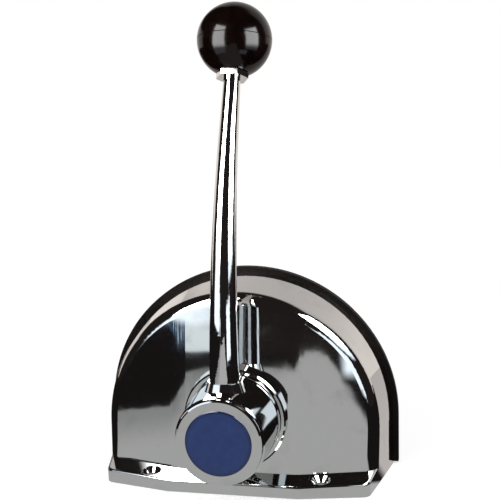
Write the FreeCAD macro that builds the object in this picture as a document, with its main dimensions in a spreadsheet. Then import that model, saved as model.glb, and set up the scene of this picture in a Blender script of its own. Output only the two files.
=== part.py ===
import FreeCAD, Part
import math
import os
import re
import Sketcher

# Boat throttle control lever, in millimetres.
# +X is to the right of the lever face, +Y is away from the helmsman, +Z is up.
# The origin is on the deck, under the axis of the lever shaft.

DIMENSIONS = {
    # cast housing
    "wall": 3.0,
    "dome_centre": 32.0,
    "rim_radius": 86.0,
    "draft": 10.0,
    "shell_back": 30.0,
    "face_foot": -19.5,
    "face_lean": 7.0,
    "panel_half": 37.0,
    "panel_sweep": 12.0,
    "panel_blend": 50.0,
    "face_round": 8.5,
    "ledge_height": 9.0,
    "ledge_slope": 7.0,
    "ledge_front": -34.0,
    "ledge_half": 40.0,
    "ledge_corner": 5.5,
    "ledge_round": 1.4,
    "ledge_hollow": 4.5,
    "hub_ring_radius": 31.5,
    "hub_ring_front": -20.5,
    "hub_ring_round": 1.0,
    "bearing_boss_radius": 15.0,
    "bearing_boss_end": -10.0,
    # fixings to the deck
    "ledge_screw_across": 52.7,
    "ledge_screw_depth": -24.4,
    "ledge_screw_radius": 3.3,
    "ledge_screw_sink": 5.75,
    "ledge_screw_boss": 7.5,
    "deck_boss_inset": 4.5,
    "deck_boss_depth": 20.0,
    "deck_boss_radius": 5.5,
    "deck_boss_height": 16.0,
    "deck_thread_radius": 2.5,
    "deck_thread_length": 12.0,
    # foot and web under the hub, inside the casting
    "deck_foot_half": 6.0,
    "deck_foot_back": 4.5,
    "deck_foot_height": 3.8,
    "web_half": 2.0,
    "web_back": -10.5,
    "web_height": 30.0,
    # back cover
    "cover_thickness": 6.3,
    "cover_skin": 3.3,
    "cover_overhang": 3.2,
    "cover_round": 2.0,
    "cover_screw_inset": 2.0,
    "cover_screw_turn": 48.0,
    "cover_boss_radius": 4.5,
    "cover_boss_length": 10.0,
    # frame plates and what carries them
    "frame_front": -3.0,
    "plate": 2.5,
    "frame_back": 25.0,
    "post_across": 46.0,
    "post_rise": 27.2,
    "post_radius": 4.0,
    "post_boss_radius": 5.0,
    "foot_margin": 8.0,
    "foot_low": 5.0,
    "foot_high": 15.0,
    "plate_margin": 6.0,
    "plate_corner": 4.0,
    "screw_radius": 2.0,
    "thread_radius": 1.65,
    "screw_head_radius": 3.5,
    "screw_head_height": 2.4,
    "head_chamfer": 0.6,
    # shaft and its bearings
    "axis_height": 42.8,
    "shaft_radius": 7.95,
    "shaft_front": -48.0,
    "shaft_back": 32.3,
    "running": 0.05,
    "bush_wall": 3.0,
    "bush_flange": 2.5,
    "bush_flange_thickness": 1.5,
    "rear_bush_end": 31.0,
    "pinion_pin_radius": 1.5,
    "pinion_pin_half": 9.2,
    # gearing
    "gear_module": 2.0,
    "pinion_teeth": 12,
    "rocker_teeth": 24,
    "sector_teeth": 8,
    "pressure_angle": 25.0,
    "backlash": 0.2,
    "pinion_front": 13.7,
    "pinion_width": 10.0,
    "rocker_plate": 3.8,
    "throttle_plane": 14.2,
    "shift_plane": 19.2,
    "plane_gap": 0.3,
    "rocker_hub_radius": 8.5,
    "rocker_disc_radius": 20.0,
    "pivot_radius": 5.0,
    "rocker_bush_wall": 2.0,
    "cable_inset": 20.0,
    "arm_root_half": 9.0,
    "arm_tip_radius": 6.5,
    # collar and return spring
    "collar_front": 10.5,
    "collar_back": 13.5,
    "collar_radius": 13.5,
    "guide_drop": 20.0,
    "guide_radius": 2.5,
    "guide_lug": 5.0,
    "spring_radius": 11.0,
    "spring_wire": 0.6,
    "spring_coils": 3.5,
    # friction clamp
    "liner_wall": 1.6,
    "clamp_front": -9.5,
    "clamp_radius": 15.0,
    "clamp_ear_drop": 24.0,
    "clamp_ear_half": 9.0,
    "clamp_slit": 2.0,
    "clamp_screw_drop": 19.5,
    "clamp_head_radius": 2.9,
    # cable ends
    "swivel_radius": 5.5,
    "swivel_pin_radius": 3.5,
    "swivel_length": 9.0,
    "swivel_thread_radius": 2.1,
    "swivel_tail": 1.3,
    "clip_thickness": 0.9,
    "saddle_half": 9.0,
    "saddle_low": 5.0,
    "saddle_high": 15.0,
    "conduit_radius": 4.5,
    "strap_thickness": 7.0,
    "strap_head_radius": 2.2,
    # neutral detent
    "detent_ring": 14.5,
    "detent_turn": 17.5,
    "detent_ball_radius": 2.0,
    "detent_gap": 0.3,
    "detent_body_radius": 4.0,
    "detent_body_end": 31.5,
    "detent_nut_radius": 6.5,
    "detent_nut_thickness": 2.6,
    "detent_coil_radius": 1.4,
    "detent_wire": 0.2,
    "detent_coils": 3.0,
    # lever hub
    "hub_front": -58.0,
    "hub_back": -21.3,
    "hub_front_radius": 26.6,
    "hub_back_radius": 28.6,
    "hub_recess_radius": 20.0,
    "hub_recess_depth": 10.0,
    "thrust_gap": 0.1,
    "cap_gap": 0.6,
    "cap_radius": 25.8,
    "cap_front": -61.2,
    "cap_round": 1.2,
    "badge_radius": 19.6,
    "badge_edge": 0.6,
    "badge_dome": 1.3,
    "hub_screw_radius": 3.0,
    "hub_screw_length": 16.0,
    "hub_washer_radius": 11.0,
    "hub_washer_thickness": 2.0,
    # lever rod and knob
    "rod_depth": -40.0,
    "rod_seat_rise": 23.2,
    "rod_base_radius": 9.1,
    "rod_tip_radius": 5.1,
    "rod_spigot_radius": 6.0,
    "rod_spigot_rise": 10.2,
    "rod_collar_foot": 12.6,
    "rod_collar_radius": 9.9,
    "rod_collar_rise": 31.0,
    "bend_rise": 1.2,
    "bend_angle": 23.5,
    "tip_straight": 56.0,
    "stud_radius": 4.9,
    "knob_height": 267.8,
    "knob_radius": 22.5,
    "knob_flat": 8.0,
    "insert_radius": 7.5,
    "insert_length": 18.0,
    "lock_nut_flats": 17.0,
    "lock_nut_height": 3.2,
}

doc = FreeCAD.newDocument("throttle_control")
sheet = doc.addObject("Spreadsheet::Sheet", "dim")
for row, (alias, amount) in enumerate(DIMENSIONS.items(), start=1):
    sheet.set(f"A{row}", alias)
    sheet.set(f"B{row}", str(amount))
    sheet.setAlias(f"B{row}", alias)
doc.recompute()

nodes = []
ORIGIN = ("0", "0", "0")
# Turned pieces are drawn as a radius against a height, and the height is laid along +Y.
LAID_BACK = "rotation(vector(1; 0; 0); 0 - 90)"
UPRIGHT = "rotation(vector(0; 0; 1); 0)"
ACROSS = "rotation(vector(0; 1; 0); 90)"


def cells(text):
    """The expression with every dimension's name read from the sheet."""
    return re.sub(r"[a-z_]+", lambda word: "dim." + word[0] if word[0] in DIMENSIONS else word[0], text)


def size(text):
    return float(sheet.evalExpression(cells(text)))


def bind(thing, **expressions):
    for name, text in expressions.items():
        thing.setExpression(name.replace("__", "."), cells(text))
    return thing


def place(thing, at=ORIGIN, turn=UPRIGHT, frame=None):
    spot = f"placement(vector({at[0]}; {at[1]}; {at[2]}); {turn})"
    return bind(thing, Placement=f"{frame} * {spot}" if frame else spot)


def node(thing, label):
    """Keeps the object as a finished piece under this name."""
    thing.Label = label
    nodes.append(thing)
    return thing


# Sketches


def sketch(body, role, offset="0"):
    drawing = body.newObject("Sketcher::SketchObject", f"{body.Name}_sketch")
    plane = next(feature for feature in body.Origin.OriginFeatures if feature.Role == role)
    drawing.AttachmentSupport = [(plane, "")]
    drawing.MapMode = "FlatFace"
    if offset != "0":
        drawing.setExpression("AttachmentOffset.Base.z", cells(offset))
    return drawing


def fix_distance(drawing, kind, curve, end, text):
    """Holds a point at a distance from the sketch's own axes, or on the axis itself."""
    if text == "0":
        axis = -2 if kind == "DistanceX" else -1
        drawing.addConstraint(Sketcher.Constraint("PointOnObject", curve, end, axis))
    else:
        index = drawing.addConstraint(Sketcher.Constraint(kind, -1, 1, curve, end, size(text)))
        drawing.setExpression(f"Constraints[{index}]", cells(text))


def fix_point(drawing, curve, end, across, up):
    fix_distance(drawing, "DistanceX", curve, end, across)
    fix_distance(drawing, "DistanceY", curve, end, up)


def fix_radius(drawing, curve, radius):
    index = drawing.addConstraint(Sketcher.Constraint("Radius", curve, size(radius)))
    drawing.setExpression(f"Constraints[{index}]", cells(radius))


def polygon(drawing, corners):
    first = drawing.GeometryCount
    points = [FreeCAD.Vector(size(across), size(up), 0) for across, up in corners]
    count = len(points)
    for index in range(count):
        drawing.addGeometry(Part.LineSegment(points[index], points[(index + 1) % count]))
    for index in range(count):
        following = first + (index + 1) % count
        drawing.addConstraint(Sketcher.Constraint("Coincident", first + index, 2, following, 1))
    for index, (across, up) in enumerate(corners):
        fix_point(drawing, first + index, 1, across, up)


def circle(drawing, across, up, radius):
    middle = FreeCAD.Vector(size(across), size(up), 0)
    curve = drawing.addGeometry(Part.Circle(middle, FreeCAD.Vector(0, 0, 1), size(radius)))
    fix_point(drawing, curve, 3, across, up)
    fix_radius(drawing, curve, radius)


def tombstone(drawing, radius, base):
    """A half circle about the dome's centre on two upright sides and a level base."""
    reach, centre, foot = size(radius), size("dome_centre"), size(base)
    middle = FreeCAD.Vector(0, centre, 0)
    arch = Part.Circle(middle, FreeCAD.Vector(0, 0, 1), reach)
    sides = ((-reach, centre), (-reach, foot), (reach, foot), (reach, centre))
    corners = [FreeCAD.Vector(across, up, 0) for across, up in sides]
    drawing.addGeometry(Part.ArcOfCircle(arch, 0, math.pi))
    for start, end in zip(corners, corners[1:]):
        drawing.addGeometry(Part.LineSegment(start, end))
    for curve, following in ((0, 1), (1, 2), (2, 3)):
        drawing.addConstraint(Sketcher.Constraint("Coincident", curve, 2, following, 1))
    drawing.addConstraint(Sketcher.Constraint("Coincident", 3, 2, 0, 1))
    drawing.addConstraint(Sketcher.Constraint("Vertical", 1))
    drawing.addConstraint(Sketcher.Constraint("Vertical", 3))
    drawing.addConstraint(Sketcher.Constraint("Horizontal", 0, 3, 0, 1))
    drawing.addConstraint(Sketcher.Constraint("Horizontal", 0, 3, 0, 2))
    fix_point(drawing, 0, 3, "0", "dome_centre")
    fix_radius(drawing, 0, radius)
    drawing.addConstraint(Sketcher.Constraint("Horizontal", 2))
    fix_distance(drawing, "DistanceY", 2, 1, base)


# Features


def feature(body, kind, name, profile=None, **expressions):
    made = body.newObject(f"PartDesign::{kind}", f"{body.Name}_{name}")
    if profile:
        made.Profile = profile
    return bind(made, **expressions)


def turned(label, profile, at=ORIGIN, turn=LAID_BACK, frame=None):
    """A piece turned about its own axis, from corners given as radius and height."""
    body = doc.addObject("PartDesign::Body", label)
    drawing = sketch(body, "XZ_Plane")
    polygon(drawing, profile)
    revolution = feature(body, "Revolution", "turning", drawing)
    revolution.ReferenceAxis = (drawing, ["V_Axis"])
    return place(body, at, turn, frame)


def slab(label, front, back, draw):
    """A flat piece between two depths, drawn as seen from the front."""
    body = doc.addObject("PartDesign::Body", label)
    drawing = sketch(body, "XZ_Plane", f"0 - ({back})")
    draw(drawing)
    feature(body, "Pad", "pad", drawing, Length=f"({back}) - ({front})")
    return body


def cylinder(radius, start, end, at, turn=LAID_BACK, frame=None):
    """A round bar between two depths, or between two heights when upright."""
    bar = bind(doc.addObject("Part::Cylinder", "bar"), Radius=radius, Height=f"({end}) - ({start})")
    spots = {LAID_BACK: (at[0], start, at[1]), UPRIGHT: (at[0], at[1], start), ACROSS: (start, at[0], at[1])}
    return place(bar, spots[turn], turn, frame)


def box(low, high, frame=None):
    lengths = [f"({end}) - ({start})" for start, end in zip(low, high)]
    block = doc.addObject("Part::Box", "block")
    bind(block, Length=lengths[0], Width=lengths[1], Height=lengths[2])
    return place(block, low, frame=frame)


def ring(outer, inner, start, end, at, turn=LAID_BACK, frame=None):
    bore = cylinder(inner, f"{start} - 1", f"{end} + 1", at, turn, frame)
    return cut(cylinder(outer, start, end, at, turn, frame), bore)


def cut(base, *tools):
    made = doc.addObject("Part::Cut", "cut")
    made.Base = base
    made.Tool = tools[0] if len(tools) == 1 else fuse(*tools)
    return made


def fuse(*pieces):
    made = doc.addObject("Part::MultiFuse", "fuse")
    made.Shapes = list(pieces)
    return made


def group(label, pieces):
    """Like pieces kept as separate solids in one node."""
    made = doc.addObject("Part::Compound", "group")
    made.Links = list(pieces)
    return node(made, label)


def edge_names(shape, wanted):
    return [f"Edge{index}" for index, edge in enumerate(shape.Edges, start=1) if wanted(edge)]


def fillet(body, name, radius, wanted):
    doc.recompute()
    base = body.Tip
    picked = edge_names(base.Shape, wanted)
    rounding = feature(body, "Fillet", name, Radius=radius)
    rounding.Base = (base, picked)
    return rounding


# Cast housing

AXIS = ("0", "axis_height")
HANDS = (1, -1)


def rim(depth, inset):
    return f"rim_radius + ({depth}) * tan(draft) - ({inset})"


def dome(label, inset, back, base, plane, slope, foot):
    """The dome behind its three leaning face panels: the casting's outside, or its core."""
    body = doc.addObject("PartDesign::Body", label)
    front = "ledge_front - 10"
    wide = sketch(body, "XZ_Plane", f"0 - ({back})")
    tombstone(wide, rim(back, inset), base)
    narrow = sketch(body, "XZ_Plane", f"0 - ({front})")
    tombstone(narrow, rim(front, inset), base)
    loft = feature(body, "AdditiveLoft", "loft", wide)
    loft.Sections = [narrow]
    loft.Ruled = True
    doc.recompute()
    ahead_of_face = sketch(body, "XY_Plane")
    foot_plane = f"placement(vector(0; {foot}; {plane}); rotation(vector(1; 0; 0); {slope}))"
    ahead_of_face.setExpression("AttachmentOffset", cells(foot_plane))
    side = "rim_radius + 20"
    swept = f"({side} - panel_half) * tan(panel_sweep)"
    ahead = "0 - (face_foot - ledge_front + 60)"
    polygon(ahead_of_face, [("0 - panel_half", "0"), ("panel_half", "0"), (side, swept), (side, ahead),
                            (f"0 - ({side})", ahead), (f"0 - ({side})", swept)])
    face = feature(body, "Pocket", "face", ahead_of_face, Length="2 * rim_radius + dome_centre")
    face.UseCustomVector = True
    bind(face, Direction__x="0", Direction__y="sin(face_lean)", Direction__z="cos(face_lean)")
    face.AlongSketchNormal = False
    face.Reversed = False
    return body


def is_crank(edge):
    """The two creases between the middle panel and the swept ones."""
    ends = [vertex.Point for vertex in edge.Vertexes]
    if len(ends) != 2 or abs(abs(ends[0].x) - abs(ends[1].x)) > 0.01:
        return False
    tall = abs(ends[0].z - ends[1].z) > size("dome_centre")
    return tall and abs(abs(ends[0].x) - size("panel_half")) < 0.01


outside = dome("housing_outside", "0", "shell_back", "0", "ledge_height", "ledge_slope", "face_foot")
ahead_of_ledge = sketch(outside, "XY_Plane")
reach = "rim_radius + 20"
receding = f"ledge_front + ({reach} - ledge_half) * tan(panel_sweep)"
polygon(ahead_of_ledge, [("0 - ledge_half", "ledge_front"), ("ledge_half", "ledge_front"), (reach, receding),
                         (reach, "ledge_front - 30"), (f"0 - ({reach})", "ledge_front - 30"),
                         (f"0 - ({reach})", receding)])
ledge_edge = feature(outside, "Pocket", "ledge_edge", ahead_of_ledge, Length="3 * ledge_height")
ledge_edge.Reversed = True
fillet(outside, "cranks", "panel_blend", is_crank)


def is_ledge_corner(edge):
    ends = [vertex.Point for vertex in edge.Vertexes]
    if len(ends) != 2 or abs(ends[0].z - ends[1].z) < size("ledge_height / 3"):
        return False
    middle = edge.CenterOfMass
    at_end = abs(middle.x) > size("(ledge_half + rim_radius) / 2")
    return at_end and middle.z < size("ledge_height") and middle.y < size("face_foot")


def is_rim(edge):
    """Where the leaning face panels meet the band, from the foot of one side over the top to the other."""
    middle = edge.CenterOfMass
    if middle.z < size("ledge_height") + 3 or len(edge.Vertexes) != 2:
        return False
    spread = [edge.valueAt(edge.FirstParameter + share * (edge.LastParameter - edge.FirstParameter))
              for share in (0.0, 0.25, 0.5, 0.75, 1.0)]
    draft = math.tan(math.radians(size("draft")))
    off_band = []
    for point in spread:
        rise = max(point.z - size("dome_centre"), 0.0)
        off_band.append(abs(math.hypot(point.x, rise) - size("rim_radius") - point.y * draft))
    return max(off_band) < 0.05 and spread[2].y < 5 and max(point.y for point in spread) < 15


def is_ledge_brim(edge):
    """The top edge round the front of the ledge and back along its ends."""
    middle = edge.CenterOfMass
    low, high = size("ledge_height / 2"), size("ledge_height") + 1.2
    return low < middle.z < high and middle.y < size("face_foot") + 5 and on_brim(middle)


def on_brim(point):
    draft = math.tan(math.radians(size("draft")))
    at_end = abs(abs(point.x) - size("rim_radius") - point.y * draft) < 1.5
    return at_end or point.y < size("ledge_front") + max(abs(point.x) - size("ledge_half"), 0) * 0.23 + 2.5


fillet(outside, "ledge_corners", "ledge_corner", is_ledge_corner)
fillet(outside, "rim", "face_round", is_rim)
fillet(outside, "brim", "ledge_round", is_ledge_brim)
doc.recompute()

core = dome("housing_core", "wall", "shell_back + 6", "0 - 6", "0 - 6", "0",
            "face_foot + wall / cos(face_lean) - (ledge_height + 6) * tan(face_lean)")

# Bosses stand inside the casting: they are left out of the core, so they join the wall.
inner = [cylinder("bearing_boss_radius", "ledge_front", "bearing_boss_end", AXIS)]
threads = []
for hand in HANDS:
    for lift in HANDS:
        spot = (f"{hand} * post_across", f"axis_height + {lift} * post_rise")
        inner.append(cylinder("post_boss_radius", "ledge_front", "frame_front", spot))
        threads.append(cylinder("thread_radius", "frame_front - 6", "frame_front + 1", spot))


def cover_spots():
    """The four screws of the back cover: two high on the dome and two low on its sides."""
    for hand in HANDS:
        yield (f"{hand} * (rim_radius - cover_screw_inset) * sin(cover_screw_turn)",
               "dome_centre + (rim_radius - cover_screw_inset) * cos(cover_screw_turn)")
        yield (f"{hand} * (rim_radius - cover_screw_inset)", "dome_centre")


COVER_THREAD = "shell_back - cover_boss_length + 2"
for spot in cover_spots():
    inner.append(cylinder("cover_boss_radius", "shell_back - cover_boss_length", "shell_back + 8", spot))
    threads.append(cylinder("thread_radius", f"{COVER_THREAD} - 1", "shell_back + 1", spot))
for hand in HANDS:
    spot = (f"{hand} * (rim_radius - deck_boss_inset)", "deck_boss_depth")
    inner.append(cylinder("deck_boss_radius", "0 - 8", "deck_boss_height", spot, UPRIGHT))
    threads.append(cylinder("deck_thread_radius", "0 - 1", "deck_thread_length", spot, UPRIGHT))

hollow = doc.addObject("PartDesign::Body", "ledge_hollow")
under = sketch(hollow, "XY_Plane", "0 - 1")
hollow_front = "ledge_front + wall + 1"
hollow_side = "rim_radius - 12"
hollow_corner = f"{hollow_front} + ({hollow_side} - ledge_half) * tan(panel_sweep)"
hollow_back = "face_foot + 4"
polygon(under, [("0 - ledge_half", hollow_front), ("ledge_half", hollow_front), (hollow_side, hollow_corner),
                (hollow_side, hollow_back), (f"0 - ({hollow_side})", hollow_back),
                (f"0 - ({hollow_side})", hollow_corner)])
feature(hollow, "Pad", "pad", under, Length="ledge_hollow + 1")

screw_bosses = []
screw_holes = []
for hand in HANDS:
    spot = (f"{hand} * ledge_screw_across", "ledge_screw_depth")
    screw_bosses.append(cylinder("ledge_screw_boss", "0 - 2", "ledge_height", spot, UPRIGHT))
    screw_holes.append(cylinder("ledge_screw_radius", "0 - 1", "ledge_height + 3", spot, UPRIGHT))
    # The sink opens at 45 degrees and runs on past the ledge's sloping top.
    top = "ledge_height + (ledge_screw_depth - face_foot) * tan(ledge_slope)"
    sink = bind(doc.addObject("Part::Cone", "sink"), Radius1="ledge_screw_radius",
                Radius2="ledge_screw_sink + 2", Height="ledge_screw_sink + 2 - ledge_screw_radius")
    screw_holes.append(place(sink, (spot[0], spot[1], f"{top} - ledge_screw_sink + ledge_screw_radius")))

flange_radius = "shaft_radius + running + bush_wall + bush_flange"
hub_ring = turned("hub_ring", [
    ("0", "hub_ring_front"), ("hub_ring_radius - hub_ring_round", "hub_ring_front"),
    ("hub_ring_radius", "hub_ring_front + hub_ring_round"),
    ("hub_ring_radius + 1", "hub_ring_front + 10"), ("0", "hub_ring_front + 10"),
], ("0", "0", "axis_height"))
BUSH_RADIUS = "shaft_radius + running + bush_wall"
bearing_bore = cylinder(BUSH_RADIUS, "hub_ring_front - 1", "bearing_boss_end + 1", AXIS)
flange_seat = cylinder(flange_radius, "hub_ring_front - 1", "hub_ring_front + bush_flange_thickness", AXIS)
hollows = fuse(cut(core, *inner), cut(hollow, *screw_bosses))
deck_foot = box(("0 - deck_foot_half", "ledge_front + wall", "0"),
                ("deck_foot_half", "deck_foot_back", "deck_foot_height"))
web = box(("0 - web_half", "face_foot + wall / 2", "0"), ("web_half", "web_back", "web_height"))
casting = fuse(cut(outside, hollows), hub_ring, deck_foot, web)
node(cut(casting, bearing_bore, flange_seat, *threads, *screw_holes), "housing_shell")

# Back cover

COVER_BACK = "shell_back + cover_thickness"
COVER_FACE = f"{COVER_BACK} - cover_skin"
COVER_HEAD = f"{COVER_BACK} - screw_head_height - 0.2"


def cover_outline(drawing):
    tombstone(drawing, f"{rim('shell_back', '0')} + cover_overhang", "1")


def cover_inside(drawing):
    tombstone(drawing, f"{rim('shell_back', 'wall')} - 0.5", "1 + cover_skin")


def is_cover_back_edge(edge):
    back = size(COVER_BACK)
    return all(abs(vertex.Point.y - back) < 0.01 for vertex in edge.Vertexes) and edge.CenterOfMass.z > 2


cover = slab("cover_plate", "shell_back", COVER_BACK, cover_outline)
fillet(cover, "rounding", "cover_round", is_cover_back_edge)
cover_hollow = slab("cover_hollow", "shell_back - 1", COVER_FACE, cover_inside)
pillars = []
cover_holes = []
cover_screws = []
for across, up in cover_spots():
    spot = (across, up)
    pillars.append(cylinder("cover_boss_radius + 1", "shell_back - 2", f"{COVER_FACE} + 1", spot))
    cover_holes.append(cylinder("screw_radius + 0.1", "shell_back - 1", f"{COVER_HEAD} + 1", spot))
    cover_holes.append(cylinder("screw_head_radius + 0.3", COVER_HEAD, f"{COVER_BACK} + 1", spot))
    cover_screws.append(turned("cover_screw", [
        ("0", COVER_THREAD), ("thread_radius", COVER_THREAD),
        ("thread_radius", COVER_HEAD), ("screw_head_radius", COVER_HEAD),
        ("screw_head_radius - head_chamfer", f"{COVER_HEAD} + screw_head_height"),
        ("0", f"{COVER_HEAD} + screw_head_height"),
    ], (across, "0", up)))
node(cut(cover, cut(cover_hollow, *pillars), *cover_holes), "back_cover")
group("back_cover_screws", cover_screws)

# Frame: two plates on four posts, held by long screws in the casting's bosses

PIVOT = "gear_module * (pinion_teeth + rocker_teeth) / 2"
FRONT_PLATE = ("frame_front", "frame_front + plate")
REAR_PLATE = ("frame_back", "frame_back + plate")
GUIDE = ("0", "axis_height - guide_drop")
DETENT = (f"0 - {PIVOT}", "axis_height + detent_ring")
CABLE_REACH = "rim_radius - cable_inset"
PLATE_HALF = "post_across + plate_margin"
PLATE_TOP = "axis_height + post_rise + plate_margin"


def plate_outline(drawing):
    foot = f"{CABLE_REACH} + foot_margin"
    half = [(foot, "foot_low"), (foot, "foot_high"), (PLATE_HALF, "foot_high + 3"),
            (PLATE_HALF, f"{PLATE_TOP} - plate_corner"), (f"{PLATE_HALF} - plate_corner", PLATE_TOP)]
    polygon(drawing, half + [(f"0 - ({across})", up) for across, up in reversed(half)])


def post_spots():
    for hand in HANDS:
        for lift in HANDS:
            yield (f"{hand} * post_across", f"axis_height + {lift} * post_rise")


def saddle_spots(hand):
    for side in HANDS:
        yield (f"{hand} * ({CABLE_REACH}) + {side} * (saddle_half - 2.2)", "(saddle_low + saddle_high) / 2")


def frame_plate(label, depths, shaft_hole, extra):
    plate = slab(f"{label}_blank", *depths, plate_outline)
    wanted = [(shaft_hole, AXIS), ("guide_radius", GUIDE)] + extra
    wanted += [("pivot_radius", (f"{hand} * {PIVOT}", "axis_height")) for hand in HANDS]
    wanted += [("screw_radius", spot) for spot in post_spots()]
    holes = [cylinder(radius, f"{depths[0]} - 1", f"{depths[1]} + 1", spot) for radius, spot in wanted]
    return node(cut(plate, *holes), label)


saddle_holes = [("thread_radius", spot) for hand in HANDS for spot in saddle_spots(hand)]
frame_plate("front_frame_plate", FRONT_PLATE, "shaft_radius + 0.6", [])
frame_plate("rear_frame_plate", REAR_PLATE, BUSH_RADIUS, saddle_holes + [("detent_body_radius", DETENT)])

group("frame_posts", [ring("post_radius", "screw_radius", FRONT_PLATE[1], REAR_PLATE[0], spot)
                      for spot in post_spots()])
FRAME_HEAD = f"{REAR_PLATE[1]} + screw_head_height"
group("frame_screws", [turned("frame_screw", [
    ("0", "frame_front - 5.5"), ("thread_radius", "frame_front - 5.5"), ("thread_radius", "frame_front"),
    ("screw_radius", "frame_front"), ("screw_radius", REAR_PLATE[1]), ("screw_head_radius", REAR_PLATE[1]),
    ("screw_head_radius - head_chamfer", FRAME_HEAD), ("0", FRAME_HEAD),
], (spot[0], "0", spot[1])) for spot in post_spots()])
node(cylinder("guide_radius", FRONT_PLATE[0], REAR_PLATE[1], GUIDE), "collar_guide_pin")

# Shaft, its bushes and the thrust washer behind the hub


def flanged_bush(label, bore, wall, start, end, flange_start, flange_end):
    outer = f"{bore} + {wall}"
    body = ring(outer, bore, start, end, AXIS)
    flange = ring(f"{outer} + bush_flange", bore, flange_start, flange_end, AXIS)
    return node(fuse(body, flange), label)


flanged_bush("front_bush", "shaft_radius + running", "bush_wall", "hub_ring_front", "bearing_boss_end",
             "hub_ring_front", "hub_ring_front + bush_flange_thickness")
flanged_bush("rear_bush", "shaft_radius + running", "bush_wall", REAR_PLATE[0], "rear_bush_end",
             REAR_PLATE[1], f"{REAR_PLATE[1]} + bush_flange_thickness")
node(ring("hub_back_radius - 1", "shaft_radius + 1.5", "hub_back + thrust_gap", "hub_ring_front", AXIS),
     "thrust_washer")

PINION_MIDDLE = "pinion_front + pinion_width / 2"
PIN_SPOT = ("0", PINION_MIDDLE)
pin_ends = ("axis_height - pinion_pin_half", "axis_height + pinion_pin_half")
shaft = turned("shaft_blank", [
    ("0", "shaft_front"), ("shaft_radius - 0.6", "shaft_front"), ("shaft_radius", "shaft_front + 0.6"),
    ("shaft_radius", "shaft_back - 0.8"), ("shaft_radius - 0.8", "shaft_back"), ("0", "shaft_back"),
], ("0", "0", "axis_height"))
screw_bore = cylinder("hub_screw_radius", "shaft_front - 1", "shaft_front + hub_screw_length + 1", AXIS)
node(cut(shaft, screw_bore, cylinder("pinion_pin_radius", *pin_ends, PIN_SPOT, UPRIGHT)), "main_shaft")
node(cylinder("pinion_pin_radius", *pin_ends, PIN_SPOT, UPRIGHT), "pinion_pin")

# Gearing: one wide pinion drives two toothed rockers in two planes


def involute(base, radius):
    """The angle that an involute of the base circle has turned through at a radius."""
    slope = math.acos(base / radius)
    return math.tan(slope) - slope


def toothing(teeth, count, middle, inner=None):
    """A closed outline of involute teeth, one at the middle angle, all round or on a sector's rim."""
    module, backlash = size("gear_module"), size("backlash")
    pressure = math.radians(size("pressure_angle"))
    pitch = module * teeth / 2
    tip, root, base = pitch + module, pitch - 1.25 * module, pitch * math.cos(pressure)
    half_pitch = (math.pi * module - backlash) / (4 * pitch) + math.tan(pressure) - pressure
    step = 2 * math.pi / teeth
    foot = max(root, base)
    reaches = [foot + share * (tip - foot) for share in (0.0, 0.15, 0.4, 0.7, 1.0)]

    def point(radius, turn):
        return FreeCAD.Vector(radius * math.cos(turn), 0, radius * math.sin(turn))

    def arc(radius, start, end):
        return Part.Arc(point(radius, start), point(radius, (start + end) / 2), point(radius, end)).toShape()

    def flank(turn, hand, upward):
        spots = [point(reach, turn + hand * (half_pitch - involute(base, reach))) for reach in reaches]
        curve = Part.BSplineCurve()
        curve.interpolate(spots if upward else spots[::-1])
        edges = [curve.toShape()]
        if base > root:
            low = point(root, turn + hand * half_pitch)
            radial = Part.LineSegment(low, spots[0]) if upward else Part.LineSegment(spots[0], low)
            edges.insert(0 if upward else 1, radial.toShape())
        return edges

    turns = [middle + (index - count // 2) * step for index in range(count)]
    tip_half = half_pitch - involute(base, tip)
    root_half = half_pitch - involute(base, foot)
    edges = []
    for index, turn in enumerate(turns):
        edges += flank(turn, -1, True) + [arc(tip, turn - tip_half, turn + tip_half)] + flank(turn, 1, False)
        if inner is None or index < count - 1:
            edges.append(arc(root, turn + root_half, turn + step - root_half))
    if inner is not None:
        first, last = turns[0] - step / 2, turns[-1] + step / 2
        down = Part.LineSegment(point(root, last), point(inner, last)).toShape()
        up = Part.LineSegment(point(inner, first), point(root, first)).toShape()
        edges += [arc(root, turns[-1] + root_half, last), down, arc(inner, last, first), up,
                  arc(root, first, turns[0] - root_half)]
    return Part.Wire(Part.__sortEdges__(edges))


def toothed(label, outline, width, at):
    rim_piece = doc.addObject("Part::Feature", label)
    rim_piece.Shape = Part.Face(outline).extrude(FreeCAD.Vector(0, size(width), 0))
    place(rim_piece, at)
    return rim_piece


pinion_teeth = int(size("pinion_teeth"))
rocker_teeth = int(size("rocker_teeth"))
pinion = toothed("pinion_blank", toothing(pinion_teeth, pinion_teeth, 0.0), "pinion_width",
                 ("0", "pinion_front", "axis_height"))
pinion_bore = cylinder("shaft_radius", "pinion_front - 1", "pinion_front + pinion_width + 1", AXIS)
node(cut(pinion, pinion_bore, cylinder("pinion_pin_radius", *pin_ends, PIN_SPOT, UPRIGHT)), "drive_pinion")

HUB_START = f"{FRONT_PLATE[1]} + plane_gap"
HUB_END = f"{REAR_PLATE[0]} - plane_gap"
BUSH_BORE = "pivot_radius + running"
BUSH_SEAT = "pivot_radius + running + rocker_bush_wall"


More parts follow.
